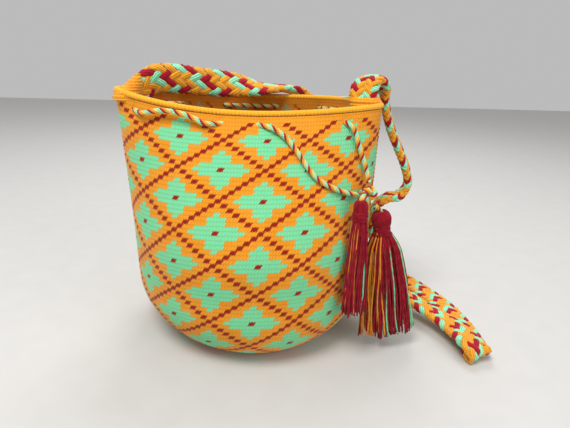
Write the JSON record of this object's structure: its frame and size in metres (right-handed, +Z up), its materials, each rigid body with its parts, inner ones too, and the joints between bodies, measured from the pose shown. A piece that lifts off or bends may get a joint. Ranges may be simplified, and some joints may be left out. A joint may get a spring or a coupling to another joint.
{
  "type": "crocheted mochila bag",
  "caption": "Crocheted bucket bag with a round base, braided shoulder strap, drawstring through eyelets under the rim, and two yarn tassels",
  "frame": {"origin": "middle of the flat base, on the surface that the bag stands on", "axes": "+Z up through the mouth, -Y the front with the tassels, +X the right side seen from the front"},
  "size_m": [0.3926, 0.257, 0.2853],
  "materials": {
    "crochet_yarn": "matte crocheted cotton, yellow with red lattice and mint crosses",
    "tab_yarn": "matte crocheted cotton, yellow",
    "strap_braid": "matte braided cotton, yellow, red and mint strands",
    "mint_yarn": "matte cotton yarn, mint",
    "drawstring_cord": "matte twisted cotton cord, pale yellow, mint and red plies",
    "tassel_yarn": "soft cotton yarn, crimson with yellow and mint strands",
    "binding_yarn": "soft cotton yarn wrap"
  },
  "bodies": {
    "bag": {"bag_body": "crochet_yarn", "left_strap_tab": "tab_yarn", "right_strap_tab": "tab_yarn", "strap": "strap_braid", "yarn_tail": "mint_yarn", "drawstring": "drawstring_cord", "drawstring_knot": "drawstring_cord"},
    "left_tassel": {"left_tassel_cord": "drawstring_cord", "left_tassel_hank": "tassel_yarn", "left_tassel_binding": "binding_yarn"},
    "right_tassel": {"right_tassel_cord": "drawstring_cord", "right_tassel_hank": "tassel_yarn", "right_tassel_binding": "binding_yarn"}
  },
  "joints": [
    {"name": "left_tassel_swing", "type": "hinge", "parent": "bag", "child": "left_tassel", "pos_m": [0.098, -0.093, 0.172], "axis": [-1, 0, 0], "range_deg": [0, 75]},
    {"name": "right_tassel_swing", "type": "hinge", "parent": "bag", "child": "right_tassel", "pos_m": [0.115, -0.083, 0.157], "axis": [-1, 0, 0], "range_deg": [0, 75]}
  ]
}
